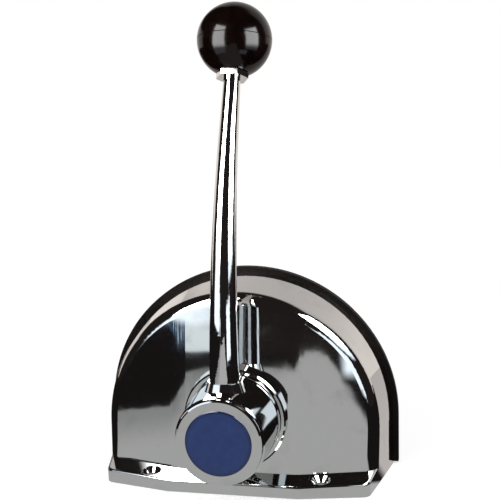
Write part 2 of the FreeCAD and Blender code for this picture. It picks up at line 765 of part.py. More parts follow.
def rocker(label, hand, plane, extra_cuts):
    """A two-armed rocker: a toothed rim towards the shaft and an arm out to the cable end."""
    pivot = (f"{hand} * {PIVOT}", "axis_height")
    tip = (f"{hand} * ({CABLE_REACH})", "axis_height")
    depths = (plane, f"{plane} + rocker_plate")
    inward = math.pi if hand > 0 else 0.0
    # A gap between two teeth takes the pinion's tooth, where the pinion has one on this side.
    pinion_tooth_faces = hand > 0 or pinion_teeth % 2 == 0
    middle = inward + (math.pi / rocker_teeth if pinion_tooth_faces else 0.0)
    outline = toothing(rocker_teeth, int(size("sector_teeth")), middle, size("rocker_disc_radius - 3"))
    rim_piece = toothed(f"{label}_teeth", outline, "rocker_plate", (pivot[0], plane, pivot[1]))
    root = f"{hand} * {PIVOT}"
    end = f"{hand} * ({CABLE_REACH})"

    def arm_outline(drawing):
        polygon(drawing, [(root, "axis_height + arm_root_half"), (end, "axis_height + arm_tip_radius"),
                          (end, "axis_height - arm_tip_radius"), (root, "axis_height - arm_root_half")])

    solid = fuse(rim_piece, slab(f"{label}_arm", *depths, arm_outline),
                 cylinder("rocker_disc_radius", *depths, pivot), cylinder("arm_tip_radius", *depths, tip),
                 cylinder("rocker_hub_radius", HUB_START, HUB_END, pivot))
    bores = [cylinder(BUSH_SEAT, f"{HUB_START} - 1", f"{HUB_END} + 1", pivot),
             cylinder("swivel_pin_radius + running", f"{plane} - 1", f"{depths[1]} + 1", tip)]
    node(cut(solid, *bores, *extra_cuts), label)
    node(ring(BUSH_SEAT, BUSH_BORE, HUB_START, HUB_END, pivot), f"{label}_bush")
    head = REAR_PLATE[1]
    pin = turned(f"{label}_pivot_pin", [
        ("0", f"{FRONT_PLATE[0]} - 1.6"), ("pivot_radius", f"{FRONT_PLATE[0]} - 1.6"), ("pivot_radius", head),
        ("pivot_radius + 2.5", head), ("pivot_radius + 2.5", f"{head} + 2"), ("0", f"{head} + 2"),
    ], (pivot[0], "0", pivot[1]))
    node(pin, f"{label}_pivot_pin")


def retaining_clip(radius, start, end, spot):
    """An open spring clip: a ring with a gap below."""
    gap = box((f"{spot[0]} - {radius} / 2", f"{start} - 1", f"{spot[1]} - 2 * ({radius}) - 2"),
              (f"{spot[0]} + {radius} / 2", f"{end} + 1", spot[1]))
    return cut(ring(f"{radius} + 2", radius, start, end, spot), gap)


DETENT_FACE = "shift_plane + rocker_plate"
dimples = []
for step in (-1, 0, 1):
    dimple = bind(doc.addObject("Part::Sphere", "dimple"), Radius="detent_ball_radius + 0.2")
    place(dimple, (f"{DETENT[0]} + detent_ring * sin({step} * detent_turn)", f"{DETENT_FACE} + 1.2",
                   f"axis_height + detent_ring * cos({step} * detent_turn)"))
    dimples.append(dimple)
rocker("throttle_rocker", 1, "throttle_plane", [])
rocker("shift_rocker", -1, "shift_plane", dimples)
group("pivot_pin_clips", [retaining_clip("pivot_radius", f"{FRONT_PLATE[0]} - 1", FRONT_PLATE[0],
                                         (f"{hand} * {PIVOT}", "axis_height")) for hand in HANDS])


def cable_end(name, hand, plane):
    """A swivel pin at the arm's tip with a threaded cross hole, and the saddle that holds the conduit."""
    across = f"{hand} * ({CABLE_REACH})"
    barrel_end = f"{plane} - plane_gap"
    middle = f"{barrel_end} - swivel_length / 2"
    arm_back = f"{plane} + rocker_plate"
    tail = f"{arm_back} + swivel_tail"
    swivel = turned(f"{name}_swivel_blank", [
        ("0", f"{barrel_end} - swivel_length"), ("swivel_radius - 0.7", f"{barrel_end} - swivel_length"),
        ("swivel_radius", f"{barrel_end} - swivel_length + 0.7"), ("swivel_radius", barrel_end),
        ("swivel_pin_radius", barrel_end), ("swivel_pin_radius", tail), ("0", tail),
    ], (across, "0", "axis_height"))
    centre = (across, middle)
    cross_hole = cylinder("swivel_thread_radius", "axis_height - 9", "axis_height + 9", centre, UPRIGHT)
    node(cut(swivel, cross_hole), f"{name}_cable_swivel")
    clip_front = f"{arm_back} + plane_gap"
    clip_back = f"{clip_front} + clip_thickness"
    clip = retaining_clip("swivel_pin_radius", clip_front, clip_back, (across, "axis_height"))
    node(clip, f"{name}_swivel_clip")
    low = (f"{across} - saddle_half", middle, "saddle_low")
    high = (f"{across} + saddle_half", "frame_back", "saddle_high")
    bore = cylinder("conduit_radius", "saddle_low - 1", "saddle_high + 1", centre, UPRIGHT)
    strap_low = (low[0], f"{middle} - strap_thickness", low[2])
    strap_high = (high[0], middle, high[2])
    holes = [cylinder("thread_radius", f"{strap_low[1]} - 1", "frame_back + 1", spot)
             for spot in saddle_spots(hand)]
    node(cut(box(low, high), bore, *holes), f"{name}_conduit_saddle")
    node(cut(box(strap_low, strap_high), bore, *holes), f"{name}_conduit_strap")
    return [turned(f"{name}_strap_screw", [
        ("0", f"{strap_low[1]} - screw_head_height"),
        ("strap_head_radius - head_chamfer", f"{strap_low[1]} - screw_head_height"),
        ("strap_head_radius", strap_low[1]), ("thread_radius", strap_low[1]),
        ("thread_radius", REAR_PLATE[1]), ("0", REAR_PLATE[1]),
    ], (spot[0], "0", spot[1])) for spot in saddle_spots(hand)]


strap_screws = cable_end("throttle", 1, "throttle_plane") + cable_end("shift", -1, "shift_plane")
group("conduit_strap_screws", strap_screws)

# Neutral detent: a sprung ball in a threaded body, facing the shift rocker's back

ball_depth = f"{DETENT_FACE} + detent_gap + detent_ball_radius"
nose = f"{DETENT_FACE} + detent_gap + 0.9"
detent_body = cylinder("detent_body_radius", nose, "detent_body_end", DETENT)
ball_bore = cylinder("detent_ball_radius + 0.05", f"{nose} - 1", "detent_body_end - 1.5", DETENT)
slot = box((f"{DETENT[0]} - detent_body_radius - 1", "detent_body_end - 0.9", f"{DETENT[1]} - 0.5"),
           (f"{DETENT[0]} + detent_body_radius + 1", "detent_body_end + 1", f"{DETENT[1]} + 0.5"))
node(cut(detent_body, ball_bore, slot), "detent_plunger_body")
ball = bind(doc.addObject("Part::Sphere", "ball"), Radius="detent_ball_radius")
node(place(ball, (DETENT[0], ball_depth, DETENT[1])), "detent_ball")


def hexagon(across_corners, start, end, at, bore, turn=LAID_BACK, frame=None):
    prism = doc.addObject("Part::Prism", "hexagon")
    prism.Polygon = 6
    bind(prism, Circumradius=across_corners, Height=f"({end}) - ({start})")
    spots = {LAID_BACK: (at[0], start, at[1]), UPRIGHT: (at[0], at[1], start)}
    place(prism, spots[turn], turn, frame)
    return cut(prism, cylinder(bore, f"{start} - 1", f"{end} + 1", at, turn, frame))


node(hexagon("detent_nut_radius", REAR_PLATE[1], f"{REAR_PLATE[1]} + detent_nut_thickness", DETENT,
             "detent_body_radius"), "detent_lock_nut")


WIRE_SIDES = 8


def spring(label, mean, wire, coils, start, end, at):
    """A compression spring between two depths, its wire drawn with eight sides."""
    body = doc.addObject("PartDesign::Body", f"{label}_coil")
    section = sketch(body, "XZ_Plane")
    turns = [(index + 0.5) * 360 / WIRE_SIDES for index in range(WIRE_SIDES)]
    polygon(section, [(f"{mean} + {wire} * cos({turn})", f"{wire} * sin({turn})") for turn in turns])
    rise = f"(({end}) - ({start}) - 2 * ({wire}))"
    coil = feature(body, "AdditiveHelix", "coil", section)
    coil.ReferenceAxis = (section, ["V_Axis"])
    bind(coil, Pitch=f"{rise} / {coils}", Height=rise)
    place(body, (at[0], f"{start} + {wire}", at[1]), LAID_BACK)
    return node(body, label)


spring("detent_spring", "detent_coil_radius", "detent_wire", "detent_coils",
       f"{ball_depth} + detent_ball_radius", "detent_body_end - 1.5", DETENT)

# Sliding collar with its return spring, and the friction clamp round the shaft


def lug_outline(drawing):
    polygon(drawing, [("guide_lug", "axis_height"), ("guide_lug", GUIDE[1]),
                      ("0 - guide_lug", GUIDE[1]), ("0 - guide_lug", "axis_height")])


collar_depths = ("collar_front", "collar_back")
collar = fuse(cylinder("collar_radius", *collar_depths, AXIS),
              slab("collar_lug", *collar_depths, lug_outline), cylinder("guide_lug", *collar_depths, GUIDE))
node(cut(collar, cylinder("shaft_radius + running", "collar_front - 1", "collar_back + 1", AXIS),
         cylinder("guide_radius + running", "collar_front - 1", "collar_back + 1", GUIDE)), "release_collar")
spring("return_spring", "spring_radius", "spring_wire", "spring_coils", FRONT_PLATE[1], "collar_front", AXIS)

LINER = "shaft_radius + running + liner_wall"
slit = box(("0 - clamp_slit / 2", "clamp_front - 1", "axis_height - clamp_ear_drop - 1"),
           ("clamp_slit / 2", "frame_front + 1", "axis_height"))
node(cut(ring(LINER, "shaft_radius + running", "clamp_front", "frame_front", AXIS), slit), "friction_liner")
ears = box(("0 - clamp_ear_half", "clamp_front", "axis_height - clamp_ear_drop"),
           ("clamp_ear_half", "frame_front", "axis_height - shaft_radius"))
CLAMP_SCREW = ("(clamp_front + frame_front) / 2", "axis_height - clamp_screw_drop")
clamp = cut(fuse(cylinder("clamp_radius", "clamp_front", "frame_front", AXIS), ears),
            cylinder(LINER, "clamp_front - 1", "frame_front + 1", AXIS), slit,
            cylinder("screw_radius", "0 - clamp_ear_half - 1", "clamp_ear_half + 1", CLAMP_SCREW, ACROSS))
node(clamp, "friction_clamp")
CLAMP_HEAD = "0 - clamp_ear_half"
friction_shank = cylinder("screw_radius", CLAMP_HEAD, "clamp_ear_half + 2", CLAMP_SCREW, ACROSS)
friction_head = cylinder("clamp_head_radius", f"{CLAMP_HEAD} - 3.5", CLAMP_HEAD, CLAMP_SCREW, ACROSS)
node(fuse(friction_shank, friction_head), "friction_screw")

# Lever: hub, cap and badge round the shaft's axis, upright in neutral

HUB_FLOOR = "hub_front + hub_recess_depth"
hub = turned("hub_blank", [
    ("0", HUB_FLOOR), ("hub_recess_radius", HUB_FLOOR), ("hub_recess_radius", "hub_front"),
    ("hub_front_radius - 0.8", "hub_front"), ("hub_front_radius", "hub_front + 0.8"),
    ("hub_back_radius", "hub_back - 0.8"), ("hub_back_radius - 0.8", "hub_back"), ("0", "hub_back"),
], ("0", "0", "axis_height"))
ROD_AT = ("0", "rod_depth")
ROD_SEAT = "axis_height + rod_seat_rise"
SPIGOT_END = "axis_height + rod_spigot_rise"
ABOVE_HUB = "axis_height + 1.4 * hub_back_radius"
hub_space = ring("hub_back_radius - wall - 1.5", "shaft_radius + wall + 2", f"{HUB_FLOOR} + wall",
                 "hub_back + 1", AXIS)
rod_boss = cylinder("rod_base_radius + wall", "axis_height", ABOVE_HUB, ROD_AT, UPRIGHT)
rod_collar = bind(doc.addObject("Part::Cone", "rod_collar"), Radius1="rod_collar_foot",
                  Radius2="rod_collar_radius", Height="rod_collar_rise - rod_seat_rise")
place(rod_collar, ("0", "rod_depth", ROD_SEAT))
node(cut(fuse(hub, rod_collar), cut(hub_space, rod_boss),
         cylinder("shaft_radius", "hub_front", "hub_back + 1", AXIS),
         cylinder("rod_base_radius", ROD_SEAT, ABOVE_HUB, ROD_AT, UPRIGHT),
         cylinder("rod_spigot_radius", SPIGOT_END, f"{ROD_SEAT} + 1", ROD_AT, UPRIGHT)), "lever_hub")
node(ring("hub_washer_radius", "hub_screw_radius", f"{HUB_FLOOR} - hub_washer_thickness", HUB_FLOOR, AXIS),
     "hub_washer")
SCREW_SEAT = f"{HUB_FLOOR} - hub_washer_thickness"
node(turned("hub_screw", [
    ("0", f"{SCREW_SEAT} - 3.6"), ("hub_screw_radius + 1.8", f"{SCREW_SEAT} - 3.6"),
    ("hub_screw_radius + 2.2", f"{SCREW_SEAT} - 3.2"), ("hub_screw_radius + 2.2", SCREW_SEAT),
    ("hub_screw_radius", SCREW_SEAT), ("hub_screw_radius", f"shaft_front + hub_screw_length"),
    ("0", "shaft_front + hub_screw_length"),
], ("0", "0", "axis_height")), "hub_screw")

CAP_BACK = "hub_front - cap_gap"
BADGE_SEAT = "cap_front + badge_edge"
node(turned("hub_cap", [
    ("0", BADGE_SEAT), ("badge_radius", BADGE_SEAT), ("badge_radius", "cap_front"),
    ("cap_radius - cap_round", "cap_front"), ("cap_radius - 0.3 * cap_round", "cap_front + 0.3 * cap_round"),
    ("cap_radius", "cap_front + cap_round"), ("cap_radius", CAP_BACK), ("hub_recess_radius", CAP_BACK),
    ("hub_recess_radius", "hub_front + 3"), ("hub_recess_radius - 2", "hub_front + 3"),
    ("hub_recess_radius - 2", CAP_BACK), ("0", CAP_BACK),
], ("0", "0", "axis_height")), "hub_cap")
dome_rise = "(badge_dome - badge_edge)"
dome_sphere = bind(doc.addObject("Part::Sphere", "dome_sphere"),
                   Radius=f"(badge_radius * badge_radius + {dome_rise} * {dome_rise}) / (2 * {dome_rise})")
place(dome_sphere, ("0", f"cap_front - badge_dome + (badge_radius * badge_radius + {dome_rise} * {dome_rise})"
                         f" / (2 * {dome_rise})", "axis_height"), LAID_BACK)
badge = doc.addObject("Part::Common", "badge")
badge.Base = cylinder("badge_radius", "cap_front - badge_dome - 1", BADGE_SEAT, AXIS)
badge.Tool = dome_sphere
node(badge, "badge_disc")

# Rod: a round bar that tapers all the way up, bent back from the hub in one long arc

BEND_START = f"({ROD_SEAT} + bend_rise)"
BEND_RADIUS = f"((knob_height - {BEND_START} - tip_straight * cos(bend_angle)) / sin(bend_angle))"
BALL_DEPTH = f"(rod_depth + {BEND_RADIUS} * (1 - cos(bend_angle)) + tip_straight * sin(bend_angle))"
KNOB = f"placement(vector(0; {BALL_DEPTH}; knob_height); rotation(vector(1; 0; 0); 0 - bend_angle))"
BALL_FOOT = "(0 - sqrt(knob_radius * knob_radius - knob_flat * knob_flat))"
NUT_FOOT = f"({BALL_FOOT} - lock_nut_height)"
STUD_END = f"{BALL_FOOT} + insert_length - 3"
TIP = (f"{BALL_DEPTH} + {NUT_FOOT} * sin(bend_angle)", f"knob_height + {NUT_FOOT} * cos(bend_angle)")
MIDDLE = ("0", "0")

rod = doc.addObject("PartDesign::Body", "rod_bar")
line = sketch(rod, "YZ_Plane")
turn = math.radians(size("bend_angle"))
radius = size(BEND_RADIUS)
bend_centre = FreeCAD.Vector(size("rod_depth") + radius, size(BEND_START), 0)
foot = FreeCAD.Vector(size("rod_depth"), size(ROD_SEAT), 0)
low = FreeCAD.Vector(size("rod_depth"), size(BEND_START), 0)
high = bend_centre + FreeCAD.Vector(-radius * math.cos(turn), radius * math.sin(turn), 0)
line.addGeometry(Part.LineSegment(foot, low))
bend = Part.Circle(bend_centre, FreeCAD.Vector(0, 0, 1), radius)
line.addGeometry(Part.ArcOfCircle(bend, math.pi - turn, math.pi))
line.addGeometry(Part.LineSegment(high, FreeCAD.Vector(size(TIP[0]), size(TIP[1]), 0)))
line.addConstraint(Sketcher.Constraint("Coincident", 0, 2, 1, 2))
line.addConstraint(Sketcher.Constraint("Coincident", 1, 1, 2, 1))
fix_point(line, 0, 1, "rod_depth", ROD_SEAT)
fix_point(line, 0, 2, "rod_depth", BEND_START)
fix_point(line, 1, 3, f"rod_depth + {BEND_RADIUS}", BEND_START)
fix_distance(line, "DistanceY", 2, 1, f"{BEND_START} + {BEND_RADIUS} * sin(bend_angle)")
fix_point(line, 2, 2, *TIP)
base_ring = sketch(rod, "XY_Plane", ROD_SEAT)
circle(base_ring, "0", "rod_depth", "rod_base_radius")
tip_ring = sketch(rod, "XY_Plane")
tip_plane = f"placement(vector(0; {TIP[0]}; {TIP[1]}); rotation(vector(1; 0; 0); 0 - bend_angle))"
tip_ring.setExpression("AttachmentOffset", cells(tip_plane))
circle(tip_ring, "0", "0", "rod_tip_radius")
pipe = feature(rod, "AdditivePipe", "taper", base_ring)
pipe.Spine = (line, ["Edge1", "Edge2", "Edge3"])
pipe.Transformation = "Multisection"
pipe.Sections = [tip_ring]
spigot = cylinder("rod_spigot_radius", SPIGOT_END, f"{ROD_SEAT} + 1", ROD_AT, UPRIGHT)
stud = cylinder("stud_radius", f"{NUT_FOOT} - 1", STUD_END, MIDDLE, UPRIGHT, KNOB)
node(fuse(rod, spigot, stud), "lever_rod")

nut_corner = "lock_nut_flats / sqrt(3)"
node(hexagon(nut_corner, NUT_FOOT, BALL_FOOT, MIDDLE, "stud_radius", UPRIGHT, KNOB), "knob_lock_nut")
ball = place(bind(doc.addObject("Part::Sphere", "ball"), Radius="knob_radius"), frame=KNOB)
below = cylinder("knob_radius + 1", "0 - knob_radius - 1", BALL_FOOT, MIDDLE, UPRIGHT, KNOB)
socket = cylinder("insert_radius", f"{BALL_FOOT} - 1", f"{BALL_FOOT} + insert_length", MIDDLE, UPRIGHT, KNOB)
node(cut(ball, below, socket), "knob")
insert = cylinder("insert_radius", BALL_FOOT, f"{BALL_FOOT} + insert_length", MIDDLE, UPRIGHT, KNOB)
stud_bore = cylinder("stud_radius", f"{BALL_FOOT} - 1", STUD_END, MIDDLE, UPRIGHT, KNOB)
node(cut(insert, stud_bore), "knob_insert")

# Check every object and every piece, then write the pieces

doc.recompute()
failed = [thing.Label for thing in doc.Objects if {"Invalid", "Error"} & set(thing.State)]
if failed:
    raise RuntimeError(f"these objects failed to compute: {failed}")
for piece in nodes:
    if piece.Shape.isNull() or not piece.Shape.isValid() or not piece.Shape.Solids:
        raise RuntimeError(f"{piece.Label} has no sound solid")
os.makedirs("parts", exist_ok=True)
for piece in nodes:
    piece.Shape.exportStep(f"parts/{piece.Label}.step")
print(f"{len(nodes)} pieces written")
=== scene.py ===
from math import cos, pi, radians, sin

import bmesh
import bpy
from mathutils import Matrix, Vector


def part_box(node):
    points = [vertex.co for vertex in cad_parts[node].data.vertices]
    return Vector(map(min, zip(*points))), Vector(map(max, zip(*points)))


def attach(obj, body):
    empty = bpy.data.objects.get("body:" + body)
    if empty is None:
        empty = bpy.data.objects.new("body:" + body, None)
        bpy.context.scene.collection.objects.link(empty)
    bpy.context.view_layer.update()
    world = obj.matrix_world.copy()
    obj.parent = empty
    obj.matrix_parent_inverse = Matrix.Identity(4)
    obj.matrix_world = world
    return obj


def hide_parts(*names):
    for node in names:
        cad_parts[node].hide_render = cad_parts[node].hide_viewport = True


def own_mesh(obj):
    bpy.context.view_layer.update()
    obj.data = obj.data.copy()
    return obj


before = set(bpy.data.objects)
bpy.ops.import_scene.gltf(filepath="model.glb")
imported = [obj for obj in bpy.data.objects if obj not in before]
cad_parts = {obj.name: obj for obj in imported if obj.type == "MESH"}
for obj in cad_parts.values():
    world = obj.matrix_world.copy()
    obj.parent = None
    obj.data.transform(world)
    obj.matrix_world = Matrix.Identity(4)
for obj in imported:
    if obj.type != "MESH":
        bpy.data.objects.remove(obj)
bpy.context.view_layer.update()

MM = 0.001
AXIS_HEIGHT = 42.8 * MM

# A vertex this near to a plane lies on it, and a face whose normal has this share along an axis faces it
ON_PLANE = 0.01 * MM
FACING = 0.999

# Camera: from in front of the part, a little to its right and above
CAMERA_YAW = radians(12.642)
CAMERA_PITCH = radians(10.867)
CAMERA_ROLL = radians(-1.797)
CAMERA_PLACE = Vector((145.9, -613.0, 263.9)) * MM
CAMERA_LENS = 76.32
CAMERA_SENSOR = 36

# Ball knob, in the lever's neutral place: its foot and its seam lean back with the rod
KNOB_CENTRE = Vector((0, 13.37, 267.8)) * MM
KNOB_RADIUS = 22.5 * MM
KNOB_LEAN = radians(23.5)
KNOB_AXIS = Vector((0, sin(KNOB_LEAN), cos(KNOB_LEAN)))
KNOB_FOOT = -21.03 * MM
KNOB_SEGMENTS = 128
KNOB_SMOOTH = 32
INSERT_RADIUS = 7.5 * MM
INSERT_DEPTH = 18 * MM
INSERT_PLAY = 0.05 * MM
SEAM_LEAN = radians(15.1)
SEAM_NORMAL = Vector((0, sin(SEAM_LEAN), cos(SEAM_LEAN)))
SEAM_HALF = 0.22 * MM
SEAM_DEPTH = 0.28 * MM

# Badge, on the hub's axis: its seat, its edge and its top as depths, with the dome's rings as shares
BADGE_RADIUS = 19.6 * MM
BADGE_SEAT = -60.6 * MM
BADGE_EDGE = -61.8 * MM
BADGE_TOP = -62.5 * MM
BADGE_ROUND = 0.7 * MM
BADGE_SEGMENTS = 128
BADGE_RINGS = (0.9, 0.82, 0.73, 0.62, 0.5, 0.36, 0.2, 0.06)
BADGE_SMOOTH = 50

# Return spring, behind the front frame plate: the collar shortens it as the lever is pulled out
SPRING_RADIUS = 11 * MM
SPRING_WIRE = 0.6 * MM
SPRING_TURNS = 3.5
SPRING_SIDES = 12
SPRING_STEPS = 32
SPRING_SMOOTH = 50

# Colours of the finishes
CASTING_TINT = (0.60, 0.605, 0.60)
LEVER_TINT = (0.66, 0.665, 0.66)
COVER_BLACK = (0.0045, 0.0032, 0.0026)
COVER_WORN = (0.0075, 0.0052, 0.0044)
KNOB_BLACK = (0.0030, 0.0012, 0.0009)
KNOB_FLOW = (0.0060, 0.0026, 0.0020)
BADGE_DEEP = (0.0025, 0.022, 0.125)
BADGE_BLUE = (0.005, 0.032, 0.155)
BADGE_RIM = (0.002, 0.014, 0.08)

# Colours of the studio
WHITE = (1, 1, 1)
BLACK = (0, 0, 0)
ROOM_DARK = (0.020, 0.016, 0.015)
ROOM_DIFFUSE = (0.55, 0.55, 0.55)
PAPER_LOW = (1.0, 0.92, 0.87)
PAPER_HIGH = (0.66, 0.62, 0.60)
WINDOW_DEEP = (0.05, 0.09, 0.15)
WINDOW_PALE = (0.95, 1.15, 1.35)
FAR_CARD = (1.05, 1.15, 1.2)
FLOOR_DIFFUSE = (0.6, 0.6, 0.6)
FLOOR_DARK = (0.012, 0.010, 0.010)
FLOOR_BEHIND = (0.66, 0.615, 0.595)
SHEET_LEFT = (0.36, 0.365, 0.365)
SHEET_RIGHT = (0.56, 0.565, 0.56)
CARD_LOW = (1.5, 1.65, 1.8)
CARD_HIGH = (18, 18, 18)

# Studio floor and card ring, in metres; the floor lies just under the deck plane
FLOOR_SIZE = 3.4
FLOOR_DROP = 0.0004
HOUSING_SIDE = 0.085
RING_RADIUS = 0.25
RING_MIDDLE = 0.26
RING_DEPTH = 0.5


def aim_camera():
    """Sets up the camera from its yaw, pitch and roll."""
    forward = Vector((-sin(CAMERA_YAW) * cos(CAMERA_PITCH), cos(CAMERA_YAW) * cos(CAMERA_PITCH),
                      -sin(CAMERA_PITCH)))
    level = Vector((cos(CAMERA_YAW), sin(CAMERA_YAW), 0))
    upright = level.cross(forward)
    right = cos(CAMERA_ROLL) * level + sin(CAMERA_ROLL) * upright
    up = -sin(CAMERA_ROLL) * level + cos(CAMERA_ROLL) * upright
    data = bpy.data.cameras.new("view_camera")
    data.sensor_width, data.lens = CAMERA_SENSOR, CAMERA_LENS
    data.clip_start, data.clip_end = 0.05, 50
    camera = bpy.data.objects.new("view_camera", data)
    bpy.context.scene.collection.objects.link(camera)
    camera.matrix_world = Matrix((
        (right.x, up.x, -forward.x, CAMERA_PLACE.x),
        (right.y, up.y, -forward.y, CAMERA_PLACE.y),
        (right.z, up.z, -forward.z, CAMERA_PLACE.z),
        (0, 0, 0, 1)))
    bpy.context.scene.camera = camera


class Signal:
    """One output socket in a node tree; arithmetic on it adds Math nodes."""

    def __init__(self, finish, socket):
        self.finish, self.socket = finish, socket

    def math(self, operation, *values):
        return self.finish.node("ShaderNodeMath", {"operation": operation}, dict(enumerate(values)))

    def __add__(self, other):
        return self.math("ADD", self, other)

    def __sub__(self, other):
        return self.math("SUBTRACT", self, other)

    def __rsub__(self, other):
        return self.math("SUBTRACT", other, self)

    def __mul__(self, other):
        return self.math("MULTIPLY", self, other)

    __radd__, __rmul__ = __add__, __mul__

    def __abs__(self):
        return self.math("ABSOLUTE", self)

    def larger(self, other):
        return self.math("MAXIMUM", self, other)

    def ramp(self, low, high, start=0.0, end=1.0):
        """Runs smoothly from start to end while the value goes from low to high."""
        return self.finish.node("ShaderNodeMapRange", {"interpolation_type": "SMOOTHSTEP"},
                                {"Value": self, "From Min": low, "From Max": high,
                                 "To Min": start, "To Max": end})

    def band(self, low, high, soft):
        """1 between low and high, fading over soft to each side of both."""
        return self.ramp(low - soft, low + soft) * self.ramp(high + soft, high - soft)


class Finish:
    """The node tree of one material or of the world."""

    def __init__(self, tree):
        self.tree = tree
        tree.nodes.clear()

    def node(self, kind, settings=None, sockets=None, out=0):
        """Adds a node, sets it, joins or fills its sockets and returns one of its outputs, if it has any."""
        made = self.tree.nodes.new(kind)
        for name, value in (settings or {}).items():
            setattr(made, name, value)
        for name, value in (sockets or {}).items():
            socket = made.inputs[name]
            if isinstance(value, Signal):
                self.tree.links.new(value.socket, socket)
            elif hasattr(value, "__len__") and socket.type == "RGBA":
                socket.default_value = (*value, 1)
            else:
                socket.default_value = value
        return Signal(self, made.outputs[out]) if made.outputs else made

    def place(self, scale=(1, 1, 1), turn=(0, 0, 0), centre=(0, 0, 0)):
        """Object coordinates in metres, moved to a centre, turned and scaled."""
        raw = self.node("ShaderNodeTexCoord", out="Object")
        moved = self.node("ShaderNodeVectorMath", {"operation": "SUBTRACT"}, {0: raw, 1: centre})
        turned = self.node("ShaderNodeMapping", None, {"Vector": moved, "Rotation": turn})
        return self.node("ShaderNodeVectorMath", {"operation": "MULTIPLY"}, {0: turned, 1: scale})

    def ray(self, kind):
        """1 for the rays of one kind, else 0."""
        return self.node("ShaderNodeLightPath", out=kind)

    def parts(self, vector):
        """The vector's x, y and z."""
        split = self.node("ShaderNodeSeparateXYZ", None, {0: vector})
        return [Signal(self, socket) for socket in split.socket.node.outputs]

    def length(self, vector):
        return self.node("ShaderNodeVectorMath", {"operation": "LENGTH"}, {0: vector}, out="Value")

    def compass(self, x, y):
        """Degrees round the part: 0 in front of it, positive to its right."""
        return self.node("ShaderNodeMath", {"operation": "ARCTAN2"}, {0: x, 1: y * -1}) * (180 / pi)

    def noise(self, vector, scale, detail=2.0, roughness=0.5, distortion=0.0):
        return self.node("ShaderNodeTexNoise", None,
                         {"Vector": vector, "Scale": scale, "Detail": detail,
                          "Roughness": roughness, "Distortion": distortion})

    def blend(self, amount, first, second):
        """A colour that goes from first to second with amount; the numbers are the colour sockets."""
        return self.node("ShaderNodeMix", {"data_type": "RGBA"},
                         {0: amount, 6: first, 7: second}, out=2)

    def bump(self, height, strength, distance, **normal):
        return self.node("ShaderNodeBump", None,
                         {"Height": height, "Strength": strength, "Distance": distance, **normal})

    def surface(self, **sockets):
        """The Principled shader and the output; an underscore stands for a space."""
        named = {name.replace("_", " "): value for name, value in sockets.items()}
        shader = self.node("ShaderNodeBsdfPrincipled", None, named)
        self.node("ShaderNodeOutputMaterial", None, {"Surface": shader})


def new_finish(name):
    material = bpy.data.materials.new(name)
    material.use_nodes = True
    return material, Finish(material.node_tree)


def polished_chrome(name, tint, ripple, haze):
    """Bright plating over a hand-polished casting: faint waves, fine wipe marks, dull spots."""
    material, f = new_finish(name)
    where = f.place()
    wiped = f.place(scale=(1, 1, 0.12), turn=(0, radians(28), 0))
    waves = f.noise(where, scale=38, detail=1.5)
    grain = f.noise(wiped, scale=900, detail=3, roughness=0.6)
    smear = f.noise(where, scale=60, detail=4, roughness=0.6, distortion=0.4).ramp(0.5, 0.72)
    pits = f.noise(where, scale=1400).ramp(0.74, 0.8)
    dulled = tuple(0.8 * share for share in tint)
    dents = f.bump(waves, strength=1.0, distance=ripple)
    f.surface(Base_Color=f.blend(smear * 0.35 + pits * 0.3, tint, dulled), Metallic=1.0,
              Roughness=haze + smear * 0.035 + grain * 0.02 + pits * 0.2,
              Normal=f.bump(pits, strength=0.2, distance=0.02 * MM, Normal=dents))
    return material


def moulded_black(name, colour, worn, gloss, grain_size):
    """Moulded black plastic with a fine spark-eroded grain."""
    material, f = new_finish(name)
    where = f.place()
    grain = f.noise(where, scale=grain_size, detail=3, roughness=0.55)
    cloud = f.noise(where, scale=45, detail=3)
    f.surface(Base_Color=f.blend(cloud.ramp(0.3, 0.75), colour, worn), Roughness=gloss + cloud * 0.1,
              IOR=1.5, Specular_IOR_Level=0.08, Normal=f.bump(grain, strength=0.35, distance=0.05 * MM))
    return material


def knob_gloss(name, colour, streak):
    """Polished phenolic: near-black brown with faint flow marks and scuffs under a gloss."""
    material, f = new_finish(name)
    where = f.place()
    rubbed = f.place(scale=(1, 1, 0.2), turn=(radians(20), 0, 0))
    flow = f.noise(where, scale=55, detail=4, roughness=0.6, distortion=1.2)
    scuff = f.noise(rubbed, scale=700, detail=3, roughness=0.65).ramp(0.58, 0.75)
    dimples = f.noise(where, scale=150, detail=3)
    f.surface(Base_Color=f.blend(flow.ramp(0.35, 0.7), colour, streak),
              Roughness=0.1 + scuff * 0.12 + flow * 0.06, IOR=1.5, Specular_IOR_Level=0.2,
              Normal=f.bump(dimples, strength=0.6, distance=0.08 * MM))
    return material


def badge_enamel(name, deep, blue, rim):
    """Deep blue under clear resin, darker towards its edge."""
    material, f = new_finish(name)
    radius = f.length(f.place(centre=(0, 0, AXIS_HEIGHT), scale=(1, 0, 1)))
    cloud = f.noise(f.place(), scale=220, detail=3, roughness=0.6)
    field = f.blend(cloud.ramp(0.3, 0.75), deep, blue)
    f.surface(Base_Color=f.blend(radius.ramp(16.5 * MM, 19.2 * MM), field, rim),
              Roughness=0.3 + cloud * 0.1, Specular_IOR_Level=0.1, Coat_Weight=1.0, Coat_Roughness=0.03,
              Normal=f.bump(cloud, strength=0.1, distance=0.02 * MM))
    return material


def machined(name, tint, stain, dull, size, length=0.06, metallic=1.0):
    """Turned or pressed metal: tool marks drawn out along y, blotches and a darker film."""
    material, f = new_finish(name)
    marks = f.noise(f.place(scale=(1, length, 1)), scale=size, detail=3, roughness=0.6)
    film = f.noise(f.place(), scale=130, detail=4, roughness=0.6).ramp(0.45, 0.75)
    f.surface(Base_Color=f.blend(film, tint, stain), Metallic=metallic,
              Roughness=dull + marks * 0.12 + film * 0.12,
              Normal=f.bump(marks, strength=0.25, distance=0.04 * MM))
    return material


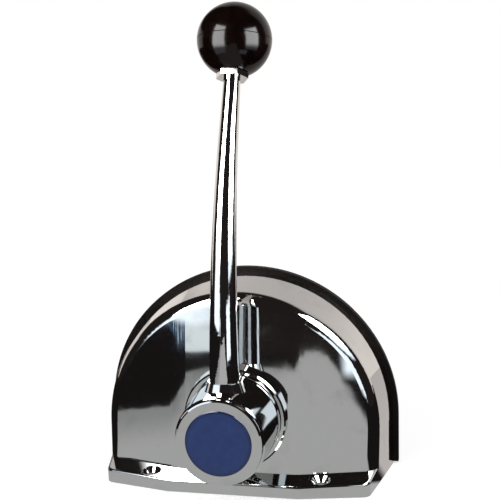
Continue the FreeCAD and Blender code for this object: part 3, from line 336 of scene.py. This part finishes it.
def make_finishes():
    """One material for each slot of the record, by the slot's name."""
    return {
        "casting_chrome": polished_chrome("casting_chrome", CASTING_TINT, ripple=0.1 * MM, haze=0.028),
        "lever_chrome": polished_chrome("lever_chrome", LEVER_TINT, ripple=0.04 * MM, haze=0.03),
        "hub_chrome": polished_chrome("hub_chrome", CASTING_TINT, ripple=0.03 * MM, haze=0.025),
        "cover_plastic": moulded_black("cover_plastic", COVER_BLACK, COVER_WORN, gloss=0.5, grain_size=2600),
        "knob_phenolic": knob_gloss("knob_phenolic", KNOB_BLACK, KNOB_FLOW),
        "badge_blue": badge_enamel("badge_blue", BADGE_DEEP, BADGE_BLUE, BADGE_RIM),
        "plated_steel": machined("plated_steel", (0.60, 0.60, 0.57), (0.42, 0.41, 0.36), 0.26, 1500),
        "ground_steel": machined("ground_steel", (0.56, 0.56, 0.57), (0.38, 0.37, 0.37), 0.16, 2200),
        "gear_steel": machined("gear_steel", (0.36, 0.35, 0.34), (0.20, 0.18, 0.16), 0.3, 1300),
        "bronze": machined("bronze", (0.62, 0.38, 0.18), (0.40, 0.22, 0.10), 0.3, 1500),
        "brass": machined("brass", (0.80, 0.60, 0.28), (0.55, 0.38, 0.16), 0.22, 1500),
        "acetal": machined("acetal", (0.72, 0.71, 0.67), (0.60, 0.58, 0.52), 0.38, 900,
                           length=0.3, metallic=0.0),
        "clamp_aluminium": machined("clamp_aluminium", (0.70, 0.70, 0.71), (0.55, 0.55, 0.55), 0.34, 1100,
                                    length=0.5),
    }


def start_piece(name):
    """Names the primitive just added, puts its place into its mesh and opens it for editing."""
    piece = bpy.context.active_object
    piece.name = piece.data.name = name
    bpy.ops.object.transform_apply(location=True, rotation=True, scale=True)
    bpy.ops.object.mode_set(mode="EDIT")
    return piece


def pick(piece, kind, wanted):
    """Selects, in edit mode, the vertices, edges or faces that are wanted."""
    bpy.ops.mesh.select_mode(type=kind)
    bpy.ops.mesh.select_all(action="DESELECT")
    mesh = bmesh.from_edit_mesh(piece.data)
    for part in {"VERT": mesh.verts, "EDGE": mesh.edges, "FACE": mesh.faces}[kind]:
        if wanted(part):
            part.select_set(True)
    bmesh.update_edit_mesh(piece.data)


def pick_end(piece, direction):
    """Selects the one many-sided face that looks in this direction."""
    pick(piece, "FACE", lambda face: face.normal.dot(direction) > FACING and len(face.verts) > 8)


def end_piece(piece, smooth, body, slot, finish, *replaced):
    """Closes the mesh, smooths it, gives it its finish, hangs it on its body and hides the CAD nodes it
    replaces.
    """
    bpy.ops.mesh.select_all(action="SELECT")
    bpy.ops.mesh.remove_doubles(threshold=0.001 * MM)
    bpy.ops.mesh.normals_make_consistent(inside=False)
    bpy.ops.object.mode_set(mode="OBJECT")
    bpy.ops.object.shade_smooth_by_angle(angle=radians(smooth))
    piece.data.materials.append(finish)
    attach(piece, body)
    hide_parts(*replaced)


def on_seam(vertex):
    return abs((vertex.co - KNOB_CENTRE).dot(SEAM_NORMAL)) < ON_PLANE


def make_ball_knob(finish):
    """A ball moulded in two halves: a fine seam round it, a flat foot and the bore for its insert."""
    bpy.ops.mesh.primitive_uv_sphere_add(segments=KNOB_SEGMENTS, ring_count=KNOB_SEGMENTS // 2,
                                         radius=KNOB_RADIUS, location=KNOB_CENTRE,
                                         rotation=(-SEAM_LEAN, 0, 0))
    knob = start_piece("ball_knob")
    pick(knob, "EDGE", lambda edge: all(map(on_seam, edge.verts)))
    bpy.ops.mesh.bevel(offset=SEAM_HALF, segments=2, affect="EDGES")
    pick(knob, "VERT", on_seam)
    bpy.ops.transform.resize(value=[1 - SEAM_DEPTH / KNOB_RADIUS] * 3, center_override=KNOB_CENTRE)
    bpy.ops.mesh.select_all(action="SELECT")
    foot = KNOB_CENTRE + KNOB_FOOT * KNOB_AXIS
    bpy.ops.mesh.bisect(plane_co=foot, plane_no=KNOB_AXIS, use_fill=True, clear_inner=True)
    pick_end(knob, -KNOB_AXIS)
    foot_radius = (KNOB_RADIUS ** 2 - KNOB_FOOT ** 2) ** 0.5
    bpy.ops.mesh.inset(thickness=foot_radius - INSERT_RADIUS - INSERT_PLAY)
    bpy.ops.mesh.extrude_region_move(TRANSFORM_OT_translate={"value": INSERT_DEPTH * KNOB_AXIS})
    end_piece(knob, KNOB_SMOOTH, "lever", "knob_phenolic", finish, "knob")


def make_domed_badge(finish):
    """A disc of clear resin over blue: rounded edge and a dome that is flattest in its middle."""
    bpy.ops.mesh.primitive_cylinder_add(vertices=BADGE_SEGMENTS, radius=BADGE_RADIUS,
                                        depth=BADGE_SEAT - BADGE_EDGE,
                                        location=(0, (BADGE_SEAT + BADGE_EDGE) / 2, AXIS_HEIGHT),
                                        rotation=(pi / 2, 0, 0))
    badge = start_piece("domed_badge")
    pick(badge, "EDGE", lambda edge: all(vertex.co.y < BADGE_EDGE + ON_PLANE for vertex in edge.verts))
    bpy.ops.mesh.bevel(offset=BADGE_ROUND, segments=5, affect="EDGES")
    pick_end(badge, Vector((0, -1, 0)))
    inner, depth = BADGE_RADIUS - BADGE_ROUND, BADGE_EDGE
    for share in BADGE_RINGS:
        radius = share * BADGE_RADIUS
        crown = BADGE_TOP + (BADGE_EDGE - BADGE_TOP) * share ** 3
        bpy.ops.mesh.inset(thickness=inner - radius)
        bpy.ops.transform.translate(value=(0, crown - depth, 0))
        inner, depth = radius, crown
    end_piece(badge, BADGE_SMOOTH, "lever", "badge_blue", finish, "badge_disc")


def make_return_spring(finish):
    """A coil wound from round wire, from the front plate back to the collar."""
    front, back = (corner[1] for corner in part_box("return_spring"))
    bpy.ops.mesh.primitive_circle_add(vertices=SPRING_SIDES, radius=SPRING_WIRE,
                                      location=(SPRING_RADIUS, 0, 0), rotation=(pi / 2, 0, 0))
    spring = start_piece("coil_return_spring")
    bpy.ops.object.mode_set(mode="OBJECT")
    coils = spring.modifiers.new("coils", "SCREW")
    coils.angle = 2 * pi * SPRING_TURNS
    coils.screw_offset = back - front - 2 * SPRING_WIRE
    coils.steps = coils.render_steps = round(SPRING_STEPS * SPRING_TURNS)
    bpy.ops.object.modifier_apply(modifier="coils")
    spring.rotation_euler = (-pi / 2, 0, 0)
    spring.location = (0, front + SPRING_WIRE, AXIS_HEIGHT)
    bpy.ops.object.transform_apply(location=True, rotation=True, scale=True)
    bpy.ops.object.mode_set(mode="EDIT")
    bpy.ops.mesh.select_all(action="SELECT")
    bpy.ops.mesh.fill_holes(sides=0)
    end_piece(spring, SPRING_SMOOTH, "housing", "ground_steel", finish, "return_spring")
    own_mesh(spring)


def room_and_paper(f, azimuth, elevation):
    """A dark room in front, and behind the part white paper that greys towards its top edge."""
    left = azimuth * -1
    low_left = left.ramp(97, 105) * elevation.ramp(16, 12)
    behind = azimuth.ramp(118, 128).larger(left.ramp(144, 154)).larger(low_left)
    paper = f.blend(elevation.ramp(4, 40), PAPER_LOW, PAPER_HIGH)
    return f.blend(behind * elevation.ramp(64, 46), ROOM_DARK, paper)


def add_window(f, room, direction, azimuth, elevation):
    """A far window on the left, blue in blotches, over an uneven sill that rises to the right."""
    blotches = f.noise(direction, scale=34, detail=4, roughness=0.65, distortion=0.8)
    pale = (blotches + elevation * 0.05).ramp(0.42, 0.6)
    above_sill = elevation - (azimuth + 40) * 0.02 + (blotches - 0.5) * 1.2
    pane = azimuth.band(-48, -17, soft=1.2) * above_sill.ramp(-3.1, -2.6) * elevation.ramp(7, 5)
    return f.blend(pane, room, f.blend(pale, WINDOW_DEEP, WINDOW_PALE))


def add_far_card(f, room, azimuth, elevation):
    """A small white card just right of the window."""
    card = azimuth.band(-16.4, -13.2, soft=0.3) * elevation.band(-3.4, 0.8, soft=0.3)
    return f.blend(card, room, FAR_CARD)


def studio_world():
    """White to the camera, an even grey to diffuse light, and a studio to what mirrors it."""
    world = bpy.data.worlds.new("studio_world")
    bpy.context.scene.world = world
    world.use_nodes = True
    f = Finish(world.node_tree)
    direction = f.node("ShaderNodeTexCoord", out="Generated")
    x, y, z = f.parts(direction)
    elevation = f.node("ShaderNodeMath", {"operation": "ARCSINE"}, {0: z}) * (180 / pi)
    azimuth = f.compass(x, y)
    room = room_and_paper(f, azimuth, elevation)
    room = add_window(f, room, direction, azimuth, elevation)
    room = add_far_card(f, room, azimuth, elevation)
    lit = f.blend(f.ray("Is Diffuse Ray"), room, ROOM_DIFFUSE)
    seen = f.ray("Is Camera Ray").larger(f.ray("Is Transmission Ray"))
    back = f.node("ShaderNodeBackground", None, {"Color": f.blend(seen, lit, WHITE), "Strength": 1.0})
    f.node("ShaderNodeOutputWorld", None, {"Surface": back})


def mirrored_floor(f, x, y):
    """What the metal shows of the floor: a grey sheet in front of the part and pale paper behind it."""
    past_side = abs(x) - HOUSING_SIDE
    sheet_sides = x.ramp(-0.295, -0.285) * (x + y * 0.235).ramp(0.105, 0.095)
    sheet_front = (y + x.larger(0) * 2.2).ramp(-1.24, -1.18)
    sheet_back = (y + past_side * 0.95).ramp(0.004, -0.004)
    behind = (y - past_side * 1.28).ramp(0, 0.01) * y.ramp(0, 0.005)
    grey = f.blend(x.ramp(-0.27, -0.12), SHEET_LEFT, SHEET_RIGHT)
    sheet = f.blend(sheet_sides * sheet_front * sheet_back, FLOOR_DARK, grey)
    return f.blend(behind, sheet, FLOOR_BEHIND)


def studio_floor():
    """A white floor to the camera, and the mirrored one to the metal."""
    bpy.ops.mesh.primitive_plane_add(size=FLOOR_SIZE, location=(0, 0, -FLOOR_DROP))
    floor = bpy.context.active_object
    floor.name = floor.data.name = "studio_floor"
    material, f = new_finish("studio_floor")
    where = f.place()
    x, y, _ = f.parts(where)
    glossy = f.ray("Is Glossy Ray")
    glow = f.length(where).ramp(0.3, 1.4, start=0.62, end=0.74)
    f.surface(Base_Color=f.blend(glossy, FLOOR_DIFFUSE, BLACK),
              Roughness=0.95 - f.noise(where, scale=4) * 0.02, Specular_IOR_Level=0.0,
              Emission_Color=f.blend(glossy, WHITE, mirrored_floor(f, x, y)),
              Emission_Strength=glossy + f.ray("Is Camera Ray") * glow)
    floor.data.materials.append(material)


def studio_cards():
    """Bright cards bent round the part, left and right, that only its glossy surfaces show."""
    bpy.ops.mesh.primitive_cylinder_add(vertices=96, radius=RING_RADIUS, depth=RING_DEPTH,
                                        location=(0, 0, RING_MIDDLE), end_fill_type="NOTHING")
    cards = bpy.context.active_object
    cards.name = cards.data.name = "studio_cards"
    bpy.ops.object.transform_apply(location=True)
    bpy.ops.object.shade_smooth()
    material, f = new_finish("studio_cards")
    x, y, z = f.parts(f.place())
    azimuth = f.compass(x, y)
    left = azimuth.band(-57, -18, soft=2.5) * z.band(0.094, 0.49, soft=0.004)
    right = azimuth.band(49, 90, soft=2.5) * z.band(0.15, 0.41, soft=0.01)
    low_right = azimuth.band(29.8, 56, soft=1.0) * z.band(0.053, 0.13, soft=0.006)
    light = f.node("ShaderNodeEmission", None, {"Color": f.blend(z.ramp(0.17, 0.24), CARD_LOW, CARD_HIGH)})
    clear = f.node("ShaderNodeBsdfTransparent")
    mixed = f.node("ShaderNodeMixShader", None,
                   {0: left.larger(right).larger(low_right), 1: clear, 2: light})
    f.node("ShaderNodeOutputMaterial", None, {"Surface": mixed})
    cards.data.materials.append(material)
    for kind in ("camera", "diffuse", "transmission", "volume_scatter", "shadow"):
        setattr(cards, f"visible_{kind}", False)


def soft_lamp(name, azimuth, height, width, tall, distance=0.58, radiance=3.0):
    """A rectangular soft lamp standing round the part, of the given brightness."""
    data = bpy.data.lights.new(name, "AREA")
    data.shape, data.size, data.size_y = "RECTANGLE", width, tall
    data.energy = radiance * pi * width * tall
    lamp = bpy.data.objects.new(name, data)
    bpy.context.scene.collection.objects.link(lamp)
    turn = radians(azimuth)
    lamp.location = (distance * sin(turn), -distance * cos(turn), height)
    lamp.rotation_euler = (pi / 2, 0, turn)
    lamp.visible_camera = False
    lamp.visible_glossy = False


def make_studio():
    studio_world()
    studio_floor()
    studio_cards()
    soft_lamp("left_soft_lamp", azimuth=-38, height=0.42, width=0.48, tall=0.42)
    soft_lamp("right_soft_lamp", azimuth=64, height=0.43, width=0.29, tall=0.46)
    bpy.context.scene.view_settings.view_transform = "Standard"


def dress_cad_nodes(finishes):
    """Gives each CAD node the finish of its slot, which its present material is named after."""
    for cad_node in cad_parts.values():
        for index, plain in enumerate(cad_node.data.materials):
            cad_node.data.materials[index] = finishes[plain.name]


bpy.ops.object.select_all(action="DESELECT")
aim_camera()
make_studio()
finishes = make_finishes()
dress_cad_nodes(finishes)
make_ball_knob(finishes["knob_phenolic"])
make_domed_badge(finishes["badge_blue"])
make_return_spring(finishes["ground_steel"])
